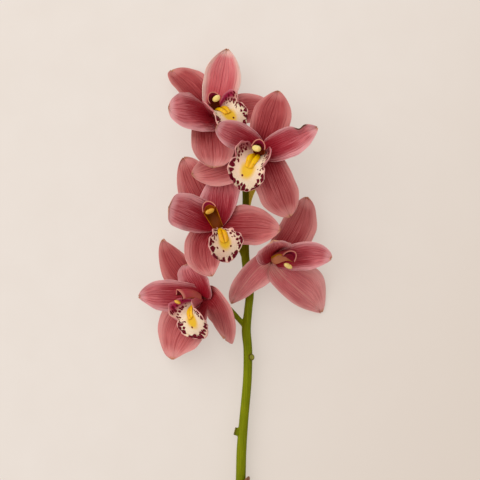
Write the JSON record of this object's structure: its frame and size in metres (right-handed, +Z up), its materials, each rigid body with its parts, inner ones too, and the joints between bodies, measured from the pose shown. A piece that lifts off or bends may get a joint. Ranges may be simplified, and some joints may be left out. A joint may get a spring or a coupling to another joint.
{
  "type": "mini cymbidium orchid stem",
  "caption": "Cut flower spike of a small orchid with open pink blooms, each with sepals, petals, a column and a spotted lip, laid flat as a decorative prop.",
  "frame": {"origin": "on the surface the stem lies on, under the middle of its bounding box", "axes": "+Z up from the surface, +Y along the stem from the cut end to the top bloom, +X to the right seen from above"},
  "size_m": [0.1085, 0.3467, 0.057],
  "materials": {
    "sepal": "soft satin, dusky rose",
    "petal": "soft satin, veined rose",
    "lip": "matt cream with dark red spots",
    "callus": "waxy golden yellow",
    "column": "waxy rose",
    "cap": "smooth cream",
    "stem": "smooth olive green",
    "bract": "dry, papery brown"
  },
  "bodies": {
    "root": {"stem": "stem", "bract": "bract", "bloom_a_dorsal_sepal": "sepal", "bloom_a_petal_left": "petal", "bloom_a_petal_right": "petal", "bloom_a_lateral_sepal_left": "sepal", "bloom_a_lateral_sepal_right": "sepal", "bloom_a_column": "column", "bloom_a_anther_cap": "cap", "bloom_a_lip": "lip", "bloom_a_callus": "callus", "bloom_b_dorsal_sepal": "sepal", "bloom_b_petal_left": "petal", "bloom_b_petal_right": "petal", "bloom_b_lateral_sepal_left": "sepal", "bloom_b_lateral_sepal_right": "sepal", "bloom_b_column": "column", "bloom_b_anther_cap": "cap", "bloom_b_lip": "lip", "bloom_b_callus": "callus", "bloom_c_dorsal_sepal": "sepal", "bloom_c_petal_left": "petal", "bloom_c_petal_right": "petal", "bloom_c_lateral_sepal_left": "sepal", "bloom_c_lateral_sepal_right": "sepal", "bloom_c_column": "column", "bloom_c_anther_cap": "cap", "bloom_c_lip": "lip", "bloom_c_callus": "callus", "bloom_d_dorsal_sepal": "sepal", "bloom_d_petal_left": "petal", "bloom_d_petal_right": "petal", "bloom_d_lateral_sepal_left": "sepal", "bloom_d_lateral_sepal_right": "sepal", "bloom_d_column": "column", "bloom_d_anther_cap": "cap", "bloom_d_lip": "lip", "bloom_d_callus": "callus", "bloom_e_dorsal_sepal": "sepal", "bloom_e_petal_left": "petal", "bloom_e_petal_right": "petal", "bloom_e_lateral_sepal_left": "sepal", "bloom_e_lateral_sepal_right": "sepal", "bloom_e_column": "column", "bloom_e_anther_cap": "cap"}
  },
  "joints": []
}
